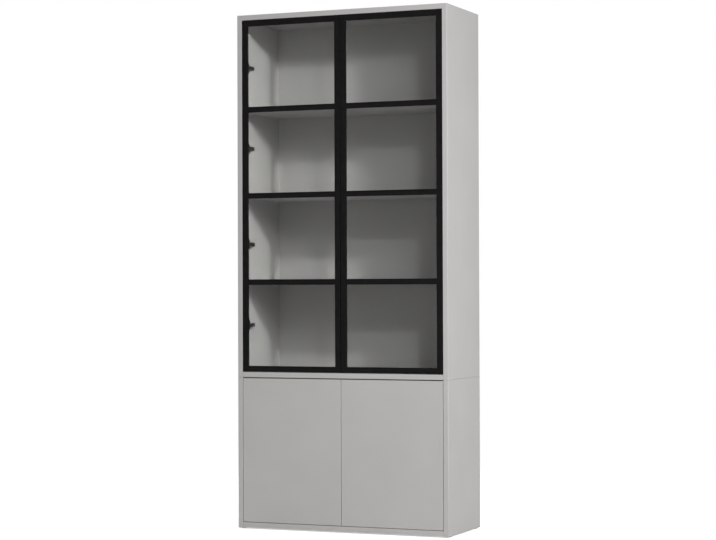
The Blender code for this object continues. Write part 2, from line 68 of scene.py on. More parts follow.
# Places and gaps that the pieces share
SEAT = 0.0003  # gap between pieces that touch
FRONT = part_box("upper_side_right")[0].y
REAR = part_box("upper_side_right")[1].y
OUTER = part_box("upper_side_right")[1].x  # outer faces of the sides
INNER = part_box("upper_top_board")[1].x + SEAT  # inner faces of the sides
CUT_PAST = 0.004  # how far a cutter runs past what it cuts
FOLD = math.radians(50)  # edges sharper than this are softened
SMALL = 1e-5
NOISE_SPAN: Range = (0.3, 0.7)  # where most of a noise pattern's values lie

# Directions and moves
UP = Vector((0, 0, 1))
BACK = Vector((0, 1, 0))
INWARD = Vector((1, 0, 0))  # in a hinge's own drawing
STAY = Matrix.Identity(4)


class Side(Enum):
    """The two hands of the cabinet, by the sign of X."""

    LEFT = -1
    RIGHT = 1

    @property
    def word(self) -> str:
        """Return the hand as the nodes spell it."""
        return self.name.lower()


class Tier(Enum):
    """The two carcasses."""

    LOWER = "lower"
    UPPER = "upper"


class DoorKind(Enum):
    """The two kinds of door, as the nodes spell them."""

    GLASS = "glass"
    LOWER = "lower"


class Axis(Enum):
    """The directions along which edges are picked."""

    X = 0
    Y = 1
    Z = 2


class Slot(Enum):
    """The record's material slots."""

    PANEL = "painted_panel"
    FRAME = "black_frame"
    GLASS = "clear_glass"
    GASKET = "black_gasket"
    HINGE = "hinge_metal"
    LATCH = "latch_plastic"
    PLUNGER = "plunger_plastic"
    GLIDE = "glide_plastic"
    STEEL = "zinc_steel"


class Sum(Enum):
    """What a node does with two values."""

    LARGER = "MAXIMUM"
    PRODUCT = "MULTIPLY"
    BELOW = "LESS_THAN"


# Finishes


class NodeSheet:
    """The node sheet of a material or of the surround."""

    def __init__(self, owner: Material | World) -> None:
        """Start an empty sheet.

        Args:
            owner: New material or surround that the sheet belongs to.
        """
        owner.use_nodes = True
        self.nodes = owner.node_tree.nodes
        self.links = owner.node_tree.links
        self.nodes.clear()

    def add(self, kind: str, *entries: NodeSocket | float, **values: object) -> Node:
        """Add a node, and link or set its inputs.

        Args:
            kind: Node type after the words ShaderNode.
            *entries: What goes to its first inputs, in their order.
            **values: What goes to its inputs by name, with _ for each space.

        Returns:
            The new node.
        """
        node = self.nodes.new(f"ShaderNode{kind}")
        named = {word.replace("_", " "): value for word, value in values.items()}
        for key, value in (*enumerate(entries), *named.items()):
            if isinstance(value, NodeSocket):
                self.links.new(value, node.inputs[key])
            else:
                node.inputs[key].default_value = value
        return node

    def combine(self, kind: Sum, first: NodeSocket, second: NodeSocket | float) -> NodeSocket:
        """Work out one value from two.

        Args:
            kind: What is done with them.
            first: First value.
            second: Second value.

        Returns:
            The result.
        """
        node = self.add("Math", first, second)
        node.operation = kind.value
        return node.outputs["Value"]

    def seen_straight(self) -> NodeSocket:
        """Tell the rays that show the background: from the camera, or by way of metal or glass.

        Returns:
            A value of 1 for those rays, and 0 for rays that light the object.
        """
        path = self.add("LightPath").outputs
        seen = path["Is Camera Ray"]
        for word in ("Is Glossy Ray", "Is Transmission Ray"):
            seen = self.combine(Sum.LARGER, seen, path[word])
        unscattered = self.combine(Sum.BELOW, path["Diffuse Depth"], 0.5)  # before any diffuse bounce
        return self.combine(Sum.PRODUCT, seen, unscattered)

    def noise(self, scale: float, detail: float, stretch: Point = (1.0, 1.0, 1.0)) -> NodeSocket:
        """Add noise over the piece's own coordinates.

        Args:
            scale: Waves per metre.
            detail: Octaves of finer noise.
            stretch: How much the pattern is packed along each axis.

        Returns:
            The noise's value.
        """
        place = self.add("TexCoord").outputs["Object"]
        mapping = self.add("Mapping", Vector=place, Scale=stretch)
        noise = self.add("TexNoise", Vector=mapping.outputs["Vector"], Scale=scale, Detail=detail)
        return noise.outputs["Fac"]

    def shades(self, source: NodeSocket, deep: Colour, pale: Colour) -> NodeSocket:
        """Turn a pattern into colours between two shades.

        Args:
            source: The pattern.
            deep: Colour of its low places.
            pale: Colour of its high places.

        Returns:
            The colour.
        """
        ramp = self.add("ValToRGB", source)
        for stop, position, colour in zip(ramp.color_ramp.elements, NOISE_SPAN, (deep, pale)):
            stop.position = position
            stop.color = (*colour, 1.0)
        return ramp.outputs["Color"]

    def between(self, source: NodeSocket, span: Range) -> NodeSocket:
        """Turn a pattern into values between the two limits of a span."""
        return self.add("MapRange", source, *NOISE_SPAN, *span).outputs["Result"]

    def bump(self, source: NodeSocket, depth: float) -> NodeSocket:
        """Turn a pattern into a normal with bumps of a depth in metres."""
        return self.add("Bump", Strength=1.0, Distance=depth, Height=source).outputs["Normal"]


@dataclass(frozen=True)
class SolidFinish:
    """A finish that light doesn't pass: paint, powder coat, plate, moulding or rubber."""

    name: str
    deep: Colour
    pale: Colour
    clouds: float  # colour clouds per metre
    rough: Range
    grain: float  # bumps per metre
    depth: float  # of the bumps, in metres
    metallic: float = 0.0
    specular: float = 0.5
    stretch: Point = (1.0, 1.0, 1.0)
    gloss_ratio: float = 2.7  # patches of gloss to a colour cloud
    cloud_detail: float = 3.0
    gloss_detail: float = 4.0
    grain_detail: float = 2.0

    def make(self) -> Material:
        """Draw the finish's nodes.

        Returns:
            The finish as a material.
        """
        material = bpy.data.materials.new(self.name)
        sheet = NodeSheet(material)
        clouds = sheet.noise(self.clouds, self.cloud_detail, self.stretch)
        gloss = sheet.noise(self.clouds * self.gloss_ratio, self.gloss_detail, self.stretch)
        grain = sheet.noise(self.grain, self.grain_detail, self.stretch)
        shader = sheet.add(
            "BsdfPrincipled",
            Base_Color=sheet.shades(clouds, self.deep, self.pale),
            Metallic=self.metallic,
            Roughness=sheet.between(gloss, self.rough),
            Specular_IOR_Level=self.specular,
            Normal=sheet.bump(grain, self.depth),
        )
        sheet.add("OutputMaterial", Surface=shader.outputs["BSDF"])
        return material


@dataclass(frozen=True)
class GlassFinish:
    """Clear sheet glass that lets the lamps through."""

    name: str
    deep: Colour
    pale: Colour
    clouds: float
    bend: float  # index of refraction
    passed: Colour  # share of lamp light that each face lets through
    cloud_detail: float = 2.0

    def make(self) -> Material:
        """Draw the glass's nodes.

        Returns:
            The glass as a material.
        """
        material = bpy.data.materials.new(self.name)
        sheet = NodeSheet(material)
        tint = sheet.shades(sheet.noise(self.clouds, self.cloud_detail), self.deep, self.pale)
        glass = sheet.add(
            "BsdfPrincipled", Base_Color=tint, Roughness=0.0, IOR=self.bend, Transmission_Weight=1.0
        )
        clear = sheet.add("BsdfTransparent", Color=(*self.passed, 1.0))
        shadow = sheet.add("LightPath").outputs["Is Shadow Ray"]
        mix = sheet.add("MixShader", shadow, glass.outputs["BSDF"], clear.outputs["BSDF"])
        sheet.add("OutputMaterial", Surface=mix.outputs["Shader"])
        return material


@dataclass(frozen=True)
class PaperFloor:
    """White studio paper that holds the shadow and fades into the white behind it."""

    name: str = "studio_paper"
    deep: Colour = (0.78, 0.78, 0.78)
    pale: Colour = (0.82, 0.82, 0.82)
    clouds: float = 3.0
    cloud_detail: float = 3.0
    glow: float = 0.56  # white added for the rays that show the background
    fade: Range = (1.2, 3.2)  # metres from the middle

    def make(self) -> Material:
        """Draw the paper's nodes.

        Returns:
            The paper as a material.
        """
        material = bpy.data.materials.new(self.name)
        sheet = NodeSheet(material)
        tone = sheet.shades(sheet.noise(self.clouds, self.cloud_detail), self.deep, self.pale)
        paper = sheet.add("BsdfDiffuse", Color=tone)
        glow = sheet.add("Emission", Strength=sheet.combine(Sum.PRODUCT, sheet.seen_straight(), self.glow))
        lit = sheet.add("AddShader", paper.outputs["BSDF"], glow.outputs["Emission"])
        distance = sheet.add("VectorMath", sheet.add("TexCoord").outputs["Object"])
        distance.operation = "LENGTH"
        fade = sheet.add("MapRange", distance.outputs["Value"], *self.fade)
        fade.interpolation_type = "SMOOTHSTEP"
        clear = sheet.add("BsdfTransparent")
        mix = sheet.add("MixShader", fade.outputs["Result"], lit.outputs["Shader"], clear.outputs["BSDF"])
        sheet.add("OutputMaterial", Surface=mix.outputs["Shader"])
        return material


FINISHES: dict[Slot, SolidFinish | GlassFinish] = {
    Slot.PANEL: SolidFinish(
        "mist_grey_lacquer", deep=(0.402, 0.393, 0.384), pale=(0.418, 0.410, 0.402), clouds=5.0,
        rough=(0.78, 0.82), grain=620.0, depth=0.000008, specular=0.12,
    ),
    Slot.FRAME: SolidFinish(
        "black_powder_coat", deep=(0.0042, 0.0042, 0.0043), pale=(0.0068, 0.0068, 0.0069), clouds=40.0,
        rough=(0.42, 0.56), grain=1500.0, depth=0.00006, specular=0.05,
    ),
    Slot.GLASS: GlassFinish(
        "clear_float_glass", deep=(0.860, 0.868, 0.860), pale=(0.870, 0.878, 0.870), clouds=1.5,
        bend=1.22, passed=(0.842, 0.846, 0.840),
    ),
    Slot.GASKET: SolidFinish(
        "glazing_rubber", deep=(0.009, 0.009, 0.009), pale=(0.016, 0.016, 0.016), clouds=60.0,
        rough=(0.7, 0.85), grain=900.0, depth=0.00008, specular=0.2,
    ),
    Slot.HINGE: SolidFinish(
        "dark_nickel_plate", deep=(0.030, 0.030, 0.032), pale=(0.062, 0.062, 0.065), clouds=45.0,
        rough=(0.24, 0.42), grain=500.0, depth=0.00004, metallic=1.0, stretch=(1.0, 0.25, 1.0),
    ),
    Slot.LATCH: SolidFinish(
        "grey_moulding", deep=(0.40, 0.40, 0.39), pale=(0.47, 0.47, 0.46), clouds=60.0,
        rough=(0.42, 0.55), grain=1300.0, depth=0.00005, specular=0.4,
    ),
    Slot.PLUNGER: SolidFinish(
        "dark_moulding", deep=(0.045, 0.045, 0.046), pale=(0.07, 0.07, 0.07), clouds=90.0,
        rough=(0.4, 0.52), grain=1300.0, depth=0.00004, specular=0.4,
    ),
    Slot.GLIDE: SolidFinish(
        "pale_glide_moulding", deep=(0.40, 0.40, 0.39), pale=(0.48, 0.48, 0.47), clouds=70.0,
        rough=(0.5, 0.62), grain=1100.0, depth=0.00005, specular=0.4,
    ),
    Slot.STEEL: SolidFinish(
        "bright_zinc_plate", deep=(0.46, 0.47, 0.49), pale=(0.62, 0.63, 0.65), clouds=110.0,
        rough=(0.26, 0.44), grain=420.0, depth=0.00005, metallic=1.0,
    ),
}


# Shaping


@dataclass(frozen=True)
class Rounding:
    """How an edge is rounded."""

    radius: float
    segments: int  # faces across it


def middle(node: str) -> Vector:
    """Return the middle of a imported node's box."""
    return sum(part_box(node), Vector()) / 2


def pair(pitch: float) -> Range:
    """Return two places that lie a pitch apart, on either side of zero."""
    return -pitch / 2, pitch / 2


def box_shape(low: Sequence[float], high: Sequence[float]) -> BMesh:
    """Start a box between two corners.

    Args:
        low: Lowest corner.
        high: Highest corner.

    Returns:
        The box.
    """
    shape = bmesh.new()
    size = Vector(high) - Vector(low)
    centre = (Vector(high) + Vector(low)) / 2
    bmesh.ops.create_cube(shape, size=1.0, matrix=Matrix.Translation(centre) @ Matrix.Diagonal((*size, 1.0)))
    return shape


def soften(shape: BMesh, edges: Iterable[BMEdge], rounding: Rounding, rest: Rounding | None = None) -> None:
    """Round some edges and then, if asked, all that are still sharp, and shade the roundings smooth.

    Args:
        shape: Shape to change.
        edges: Its edges to round first.
        rounding: How they are rounded.
        rest: How the edges that are still sharp are rounded.
    """
    rounded = bmesh.ops.bevel(
        shape, geom=list(edges), offset=rounding.radius, segments=rounding.segments, profile=0.5,
        affect="EDGES", material=-1, clamp_overlap=True,
    )
    for face in rounded["faces"]:
        face.smooth = True
    if rest:
        soften(shape, folds(shape), rest)


def eased_box(low: Sequence[float], high: Sequence[float], rounding: Rounding) -> BMesh:
    """Start a box with all its edges rounded.

    Args:
        low: Lowest corner.
        high: Highest corner.
        rounding: How its edges are rounded.

    Returns:
        The box.
    """
    shape = box_shape(low, high)
    soften(shape, shape.edges[:], rounding)
    return shape


def folds(shape: BMesh) -> list[BMEdge]:
    """Return the edges of a closed shape that fold by more than the limit."""
    shape.normal_update()
    return [edge for edge in shape.edges if edge.calc_face_angle(0.0) > FOLD]


def edges_along(shape: BMesh, axis: Axis, test: Callable[[Vector], bool] | None = None) -> list[BMEdge]:
    """Find the edges that run along an axis.

    Args:
        shape: Shape to look over.
        axis: Direction of the edges.
        test: Test that an edge's middle has to pass.

    Returns:
        The edges.
    """
    found = []
    for edge in shape.edges:
        first, second = (vert.co for vert in edge.verts)
        run = second - first
        straight = abs(abs(run[axis.value]) - run.length) < SMALL
        if straight and (test is None or test((first + second) / 2)):
            found.append(edge)
    return found


def turned(profile: Sequence[Range], steps: int) -> BMesh:
    """Spin a profile round the upright axis.

    Args:
        profile: Radius and height of each point, from the bottom middle to the top middle.
        steps: Facets round.

    Returns:
        The turned shape, shaded smooth.
    """
    shape = bmesh.new()
    points = [shape.verts.new((radius, 0.0, height)) for radius, height in profile]
    line = [shape.edges.new(ends) for ends in zip(points, points[1:])]
    bmesh.ops.spin(
        shape, geom=points + line, cent=(0, 0, 0), axis=UP, dvec=(0, 0, 0), angle=2 * math.pi, steps=steps,
        use_merge=True,
    )
    bmesh.ops.remove_doubles(shape, verts=shape.verts, dist=SMALL)
    bmesh.ops.recalc_face_normals(shape, faces=shape.faces[:])
    for face in shape.faces:
        face.smooth = True
    return shape


def drawn(outline: Sequence[Range], low: float, high: float) -> BMesh:
    """Extrude a flat outline upwards.

    Args:
        outline: Points of the outline in plan.
        low: Height of its bottom.
        high: Height of its top.

    Returns:
        The extruded shape.
    """
    shape = bmesh.new()
    face = shape.faces.new([shape.verts.new((x, y, low)) for x, y in outline])
    grown = bmesh.ops.extrude_face_region(shape, geom=[face])
    raised = [item for item in grown["geom"] if isinstance(item, BMVert)]
    bmesh.ops.translate(shape, verts=raised, vec=(0, 0, high - low))
    bmesh.ops.recalc_face_normals(shape, faces=shape.faces[:])
    return shape


def aimed(axis: Vector, place: Sequence[float]) -> Matrix:
    """Return the move that puts an upright shape's origin at a place, and its upright along an axis."""
    return Matrix.Translation(Vector(place)) @ UP.rotation_difference(axis).to_matrix().to_4x4()


def moved(shape: BMesh, move: Matrix) -> BMesh:
    """Move a shape, with its faces still pointing outwards.

    Args:
        shape: Shape to move.
        move: Where it goes.

    Returns:
        The same shape.
    """
    bmesh.ops.transform(shape, matrix=move, verts=shape.verts)
    if move.determinant() < 0:
        bmesh.ops.reverse_faces(shape, faces=shape.faces)
    return shape


def add_copies(target: BMesh, shape: BMesh, moves: Iterable[Matrix] = (STAY,)) -> None:
    """Put copies of a shape into another one, and free the shape.

    Args:
        target: Shape that grows.
        shape: Shape to copy.
        moves: Where each copy goes.
    """
    for move in moves:
        copy = moved(shape.copy(), move)
        mesh = bpy.data.meshes.new("copy")
        copy.to_mesh(mesh)
        copy.free()
        target.from_mesh(mesh)
        bpy.data.meshes.remove(mesh)
    shape.free()


def placed(name: str, shape: BMesh, finish: Material | None = None) -> Object:
    """Put a shape into the scene as an object, and free the shape.

    Args:
        name: Name of the object.
        shape: Its shape.
        finish: Its finish.

    Returns:
        The object.
    """
    mesh = bpy.data.meshes.new(name)
    shape.to_mesh(mesh)
    shape.free()
    if finish:
        mesh.materials.append(finish)
    item = bpy.data.objects.new(name, mesh)
    bpy.context.collection.objects.link(item)
    return item


def carve(shape: BMesh, cutter: BMesh) -> BMesh:
    """Cut one shape away from another, and free both.

    Args:
        shape: Shape to keep.
        cutter: Shape to cut away.

    Returns:
        What is left.
    """
    kept, cut = (placed("carving", item) for item in (shape, cutter))
    boolean = kept.modifiers.new("carve", "BOOLEAN")
    boolean.operation = "DIFFERENCE"
    boolean.solver = "EXACT"
    boolean.object = cut
    bpy.context.view_layer.update()
    left = bmesh.new()
    left.from_object(kept, bpy.context.evaluated_depsgraph_get())
    for item in (kept, cut):
        mesh = item.data
        bpy.data.objects.remove(item)
        bpy.data.meshes.remove(mesh)
    return left


def rod(start: Sequence[float], axis: Vector, length: float, radius: float, facets: int) -> BMesh:
    """Make a plain round cutter.

    Args:
        start: Middle of its first end.
        axis: Its direction.
        length: Its length.
        radius: Its radius.
        facets: Facets round.

    Returns:
        The cutter.
    """
    shape = bmesh.new()
    place = aimed(axis, Vector(start) + axis * length / 2)
    bmesh.ops.create_cone(
        shape, cap_ends=True, segments=facets, radius1=radius, radius2=radius, depth=length, matrix=place
    )
    return shape


# Making pieces


@dataclass(frozen=True)
class Ticket:
    """What a new piece is called, what it rides on, and which nodes it stands for."""

    name: str
    body: str
    slot: Slot
    stands_for: tuple[str, ...] = ()


class Bench:
    """Turns shapes into finished pieces of the scene."""

    def __init__(self) -> None:
        """Make every finish once."""
        self.finishes = {slot: finish.make() for slot, finish in FINISHES.items()}

    def mesh_piece(self, ticket: Ticket, shape: BMesh) -> Object:
        """Make an object of a shape, with its finish.

        Args:
            ticket: What the piece is.
            shape: Its shape, which is freed.

        Returns:
            The piece, riding on nothing yet.
        """
        piece = placed(ticket.name, shape, self.finishes[ticket.slot])
        if ticket.stands_for:
            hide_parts(*ticket.stands_for)
        LOG.info("%s: %d faces on %s", ticket.name, len(piece.data.polygons), ticket.body)
        return piece

    def set_out(self, ticket: Ticket, shape: BMesh) -> None:
        """Make a rigid piece that rides on its ticket's body, and free its shape."""
        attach(self.mesh_piece(ticket, shape), ticket.body)

    def set_out_bent(self, ticket: Ticket, shape: BMesh) -> None:
        """Make a piece whose place is baked into its shape, and which rides on no body."""
        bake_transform(self.mesh_piece(ticket, shape))

    def dress(self, slot: Slot, names: Iterable[str]) -> None:
        """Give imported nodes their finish.

        Args:
            slot: The finish's slot.
            names: Names of the nodes.
        """
        for name in names:
            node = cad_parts[name]
            for place in node.material_slots:
                place.material = self.finishes[slot]
            LOG.info("%s: packed node in %s", name, slot.value)


# Small turned pieces


@dataclass(frozen=True)
class Screw:
    """A screw's head with a cross recess."""

    radius: float
    height: float
    facets: int = 20

    # Shares of the height
    sunk: float = 0.5  # how far it reaches below its seat
    rim: float = 0.35
    shoulder: float = 0.75
    recess_bottom: float = 0.1
    recess_top: float = 2.0  # of the cutter

    # Shares of the radius
    shoulder_width: float = 0.86
    crown_width: float = 0.6
    recess_reach: float = 0.62
    recess_half: float = 0.13

    def shape(self) -> BMesh:
        """Turn the head and cut its recess.

        Returns:
            The head, with its seat at the origin and its top upwards.
        """
        radius, height = self.radius, self.height
        bottom = -height * self.sunk
        head = turned(
            [(0, bottom), (radius, bottom), (radius, height * self.rim),
             (radius * self.shoulder_width, height * self.shoulder), (radius * self.crown_width, height),
             (0, height)],
            self.facets,
        )
        reach, half = radius * self.recess_reach, radius * self.recess_half
        low, high = height * self.recess_bottom, height * self.recess_top
        for x, y in ((reach, half), (half, reach)):
            head = carve(head, box_shape((-x, -y, low), (x, y, high)))
        return head


@dataclass(frozen=True)
class ShelfPin:
    """A plated shelf pin with a thin collar, from the bottom of its bore to its rounded end."""

    radius: float = 0.0025
    play: float = 0.00015  # in its bore
    root: float = 0.004
    reach: float = 0.008
    collar_radius: float = 0.0042
    collar: float = 0.0006
    collar_gap: float = 0.00005  # to the side
    ease: float = 0.0006
    facets: int = 24

    def shape(self) -> BMesh:
        """Turn the pin.

        Returns:
            The pin, with the side's face at the origin and its end upwards.
        """
        radius, reach, root = self.radius, self.reach, -self.root
        thin = radius - self.ease
        low, high = self.collar_gap, self.collar_gap + self.collar
        return turned(
            [(0, root), (thin, root), (radius, root + self.ease), (radius, low), (self.collar_radius, low),
             (self.collar_radius, high), (radius, high), (radius, reach - self.ease), (thin, reach),
             (0, reach)],
            self.facets,
        )


@dataclass(frozen=True)
class StrikePlate:
    """The thin steel disc on a lower door that the latch's plunger meets."""

    radius: float = 0.007
    thickness: float = 0.0002
    gap: float = 0.00002  # to the door
    rim: float = 0.00012
    slope: float = 0.0003
    facets: int = 32

    def shape(self) -> BMesh:
        """Turn the disc.

        Returns:
            The disc, with the door's face at the origin and its own face upwards.
        """
        radius, top = self.radius, self.thickness
        return turned(
            [(0, self.gap), (radius, self.gap), (radius, self.rim), (radius - self.slope, top), (0, top)],
            self.facets,
        )


# The cabinet's sub-assemblies


@dataclass(frozen=True)
class Carcass:
    """One carcass: its two sides with grooves and pins, its shelves, and its packed boards."""

    tier: Tier
    shelves: tuple[str, ...]
    pin: ShelfPin = ShelfPin()
    pin_inset: float = 0.040
    front_round: Rounding = Rounding(0.003, 6)
    side_ease: Rounding = Rounding(0.0009, 2)
    shelf_ease: Rounding = Rounding(0.0013, 3)

    def pin_places(self, side: Side) -> list[Vector]:
        """Find where one side's pins leave its inner face.

        Args:
            side: Hand of the side.

        Returns:
            The places.
        """
        places = []
        for name in self.shelves:
            low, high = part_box(name)
            for depth in (low.y + self.pin_inset, high.y - self.pin_inset):
                places.append(Vector((side.value * INNER, depth, low.z - SEAT - self.pin.radius)))
        return places

    def groove(self, side: Side) -> BMesh:
        """Make the cutter of the groove that holds the back board.

        Args:
            side: Hand of the side.

        Returns:
            The cutter.
        """
        low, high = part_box(f"{self.tier.value}_back_board")
        near, far = sorted((side.value * (INNER - CUT_PAST), side.value * (high.x + SEAT)))
        return box_shape((near, low.y - SEAT, low.z - SEAT), (far, high.y + SEAT, high.z + SEAT))

    def side_shape(self, side: Side) -> BMesh:
        """Make a side with its rounded edges, groove and pin bores.

        Args:
            side: Hand of the side.

        Returns:
            The board.
        """
        low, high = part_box(f"{self.tier.value}_side_{side.word}")
        inner, outer = side.value * INNER, side.value * OUTER
        shape = box_shape((min(inner, outer), FRONT, low.z), (max(inner, outer), REAR, high.z))
        corner = edges_along(
            shape, Axis.Z, lambda at: abs(at.x - outer) < SMALL and abs(at.y - FRONT) < SMALL
        )
        soften(shape, corner, self.front_round, self.side_ease)
        shape = carve(shape, self.groove(side))
        outward = Vector((side.value, 0, 0))
        length, radius = CUT_PAST + self.pin.root + SEAT, self.pin.radius + self.pin.play
        bores = bmesh.new()
        for place in self.pin_places(side):
            start = place - outward * CUT_PAST
            add_copies(bores, rod(start, outward, length, radius, self.pin.facets))
        return carve(shape, bores)

    def pins_shape(self, side: Side) -> BMesh:
        """Make all the pins of one side.

        Args:
            side: Hand of the side.

        Returns:
            The pins.
        """
        shape = bmesh.new()
        inward = Vector((-side.value, 0, 0))
        add_copies(shape, self.pin.shape(), [aimed(inward, place) for place in self.pin_places(side)])
        return shape

    def build(self, bench: Bench) -> None:
        """Set out the carcass's pieces.

        Args:
            bench: Maker of the pieces.
        """
        word = self.tier.value
        for side in Side:
            node = f"{word}_side_{side.word}"
            bench.set_out(Ticket(f"{node}_painted", "cabinet", Slot.PANEL, (node,)), self.side_shape(side))
            pins = Ticket(f"{word}_shelf_pins_{side.word}", "cabinet", Slot.STEEL)
            bench.set_out(pins, self.pins_shape(side))
        for name in self.shelves:
            shelf = Ticket(f"{name}_painted", "cabinet", Slot.PANEL, (name,))
            bench.set_out(shelf, eased_box(*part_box(name), self.shelf_ease))
        bench.dress(Slot.PANEL, (f"{word}_{board}_board" for board in ("top", "bottom", "back")))


@dataclass(frozen=True)
class DoorPlate:
    """The flat plate of a hinge's door half, with rounded corners and eased edges."""

    thickness: float
    width: float
    half: float  # half its height
    corner: Rounding
    pitch: float  # between its screws
    ease: Rounding = Rounding(0.0004, 2)

    def shape(self, inward: float, front: float) -> BMesh:
        """Make the plate.

        Args:
            inward: Its middle, from the side.
            front: Its front, from the cabinet's front.

        Returns:
            The plate in the hinge's own drawing.
        """
        near, far = (inward + across for across in pair(self.width))
        shape = box_shape((near, front, -self.half), (far, front + self.thickness, self.half))
        soften(shape, edges_along(shape, Axis.Y), self.corner, self.ease)
        return shape


@dataclass(frozen=True)
class HingeKit:
    """The shared shapes of the concealed hinges, drawn inward from the side, back from the front, and up."""

    # Arm
    width: float = 0.0175  # upward, also of the knuckle
    nose: float = 0.010  # straight length beside the knuckle
    crank: float = 0.012  # length over which the arm bends
    length: float = 0.064
    rise: float = 0.012
    heel: Rounding = Rounding(0.0045, 5)
    arm_ease: Rounding = Rounding(0.0011, 3)
    set_screw: Screw = Screw(0.0032, 0.0012)
    set_screw_insets: Range = (0.008, 0.012)  # behind the crank, and before the heel

    # Mounting plate
    plate: float = 0.003
    plate_half: float = 0.023
    plate_width: float = 0.020
    plate_tip: float = 0.008  # width at its two ends
    plate_shoulder: float = 0.009  # half the length at full width
    plate_place: float = 0.0325  # behind the nose
    plate_corner: Rounding = Rounding(0.0035, 5)
    plate_ease: Rounding = Rounding(0.0005, 2)
    plate_screw: Screw = Screw(0.0036, 0.0009)  # also of the door halves
    plate_pitch: float = 0.032

    # Knuckle and its pin
    play: float = 0.0005  # between the knuckle and the nose
    knuckle: float = 0.007
    knuckle_width: float = 0.013
    knuckle_round: Rounding = Rounding(0.0028, 4)
    knuckle_ease: Rounding = Rounding(0.0006, 2)
    pin_radius: float = 0.0015
    pin_proud: float = 0.0006
    pin_ease: float = 0.0003
    pin_inset: float = 0.0032  # from the knuckle's back
    pin_facets: int = 16

    # Plates on the doors, and the cup
    wing: DoorPlate = DoorPlate(0.0025, width=0.013, half=0.022, corner=Rounding(0.005, 6), pitch=0.031)
    flange: DoorPlate = DoorPlate(0.0015, width=0.022, half=0.024, corner=Rounding(0.008, 6), pitch=0.041)
    cup_radius: float = 0.0175
    cup_play: float = 0.0001  # taken off outside
    cup_depth: float = 0.0115
    cup_wall: float = 0.0011
    cup_slope: float = 0.002  # of its bottom edge
    cup_slope_top: float = 0.003  # of the slope inside, above the bottom
    cup_facets: int = 40

    # Links
    link_half: float = 0.0045
    link_spans: tuple[Range, Range] = ((-0.0052, -0.0028), (0.0022, 0.0046))  # from the knuckle's middle
    link_root: float = 0.0055  # how far the links run into the knuckle
    link_reach: float = 0.0088  # how far the links run into the nose
    link_ease: Rounding = Rounding(0.0007, 2)
    link_steps: int = 28
    link_held: float = 0.002  # back ends that stay with the arm
    link_joined: float = 0.003  # depth in the knuckle from which they stay with the door

    @property
    def cup_inner(self) -> float:
        """Return the radius inside the cup."""
        return self.cup_radius - self.cup_wall

    def place(self, side: Side, height: float) -> Matrix:
        """Return the move from a hinge's own drawing to its place, mirrored on the right."""
        turn = Matrix.Diagonal((-side.value, 1, 1, 1))
        return Matrix.Translation((side.value * INNER, FRONT, height)) @ turn

    def mounting_plate(self) -> BMesh:
        """Make the plate on the side, narrower towards its ends.

        Returns:
            The plate, with the middle of its seat at the origin.
        """
        quarter = [(self.plate_width / 2, self.plate_shoulder), (self.plate_tip / 2, self.plate_half)]
        outline = quarter + [(-x, y) for x, y in reversed(quarter)]
        outline += [(-x, -y) for x, y in outline]
        shape = drawn(outline, 0.0, self.plate)
        soften(shape, edges_along(shape, Axis.Z), self.plate_corner, self.plate_ease)
        on_side = Matrix(((0, 0, 1, 0), (1, 0, 0, 0), (0, 1, 0, 0), (0, 0, 0, 1)))
        return moved(shape, on_side)

    def arm(self, inward: float, knuckle_end: float) -> BMesh:
        """Make the half on the side: mounting plate, cranked arm and screws.

        Args:
            inward: Middle of the knuckle, from the side.
            knuckle_end: Back of the knuckle, from the front.

        Returns:
            The arm in the hinge's own drawing.
        """
        nose = knuckle_end + self.play
        rear = nose + self.length
        bend = nose + self.nose
        level = bend + self.crank
        root = SEAT + self.plate / 2
        top = SEAT + self.plate + self.rise
        near, far = (inward + across for across in pair(self.knuckle_width))
        outline = [
            (root, rear), (top, rear), (top, level), (far, bend), (far, nose), (near, nose), (near, bend),
            (root, level),
        ]
        shape = drawn(outline, *pair(self.width))
        heel = edges_along(shape, Axis.X, lambda at: at.y > rear - SMALL)
        soften(shape, heel, self.heel, self.arm_ease)
        centre = nose + self.plate_place
        add_copies(shape, self.mounting_plate(), [Matrix.Translation((SEAT, centre, 0))])
        seats = [aimed(INWARD, (SEAT + self.plate, centre, up)) for up in pair(self.plate_pitch)]
        add_copies(shape, self.plate_screw.shape(), seats)
        depths = (level + self.set_screw_insets[0], rear - self.set_screw_insets[1])
        add_copies(shape, self.set_screw.shape(), [aimed(INWARD, (top, depth, 0)) for depth in depths])
        return shape

    def knuckle_shape(self, inward: float, start: float, end: float) -> BMesh:
        """Make the body behind a door half's plate, with the pin through it.

        Args:
            inward: Its middle, from the side.
            start: Its front, from the cabinet's front.
            end: Its back.

        Returns:
            The knuckle in the hinge's own drawing.
        """
        half, across = self.width / 2, self.knuckle_width / 2
        shape = box_shape((inward - across, start, -half), (inward + across, end, half))
        behind = edges_along(shape, Axis.Z, lambda at: at.y > end - SMALL)
        soften(shape, behind, self.knuckle_round, self.knuckle_ease)
        radius, tip = self.pin_radius, half + self.pin_proud
        thin, shoulder = radius - self.pin_ease, tip - self.pin_ease
        pin = turned(
            [(0, -tip), (thin, -tip), (radius, -shoulder), (radius, shoulder), (thin, tip), (0, tip)],
            self.pin_facets,
        )
        add_copies(shape, pin, [Matrix.Translation((inward, end - self.pin_inset, 0))])
        return shape

